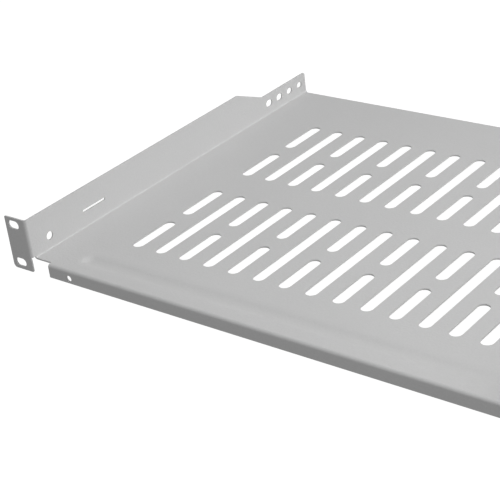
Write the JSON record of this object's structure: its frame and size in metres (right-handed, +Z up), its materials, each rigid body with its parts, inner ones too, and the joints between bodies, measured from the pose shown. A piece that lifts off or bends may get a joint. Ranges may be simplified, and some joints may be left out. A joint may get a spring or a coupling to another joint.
{
  "type": "cantilever rack shelf",
  "caption": "Cantilever rack shelf folded from sheet steel, with a slotted vented base, stepped side walls, a front lip and ears that bolt to the rack's front posts.",
  "frame": {"origin": "middle of the four rack slots in the ears, on the plane of the ears' rear faces, which meet the rack's front posts", "axes": "+X to the right seen from the front of the rack, +Y to the rear of the rack, +Z up"},
  "size_m": [0.4826, 0.3512, 0.0436],
  "materials": {
    "powder_coat": "light grey powder coat with a fine texture, satin"
  },
  "bodies": {
    "root": {"folded_shelf": "powder_coat"}
  },
  "joints": []
}
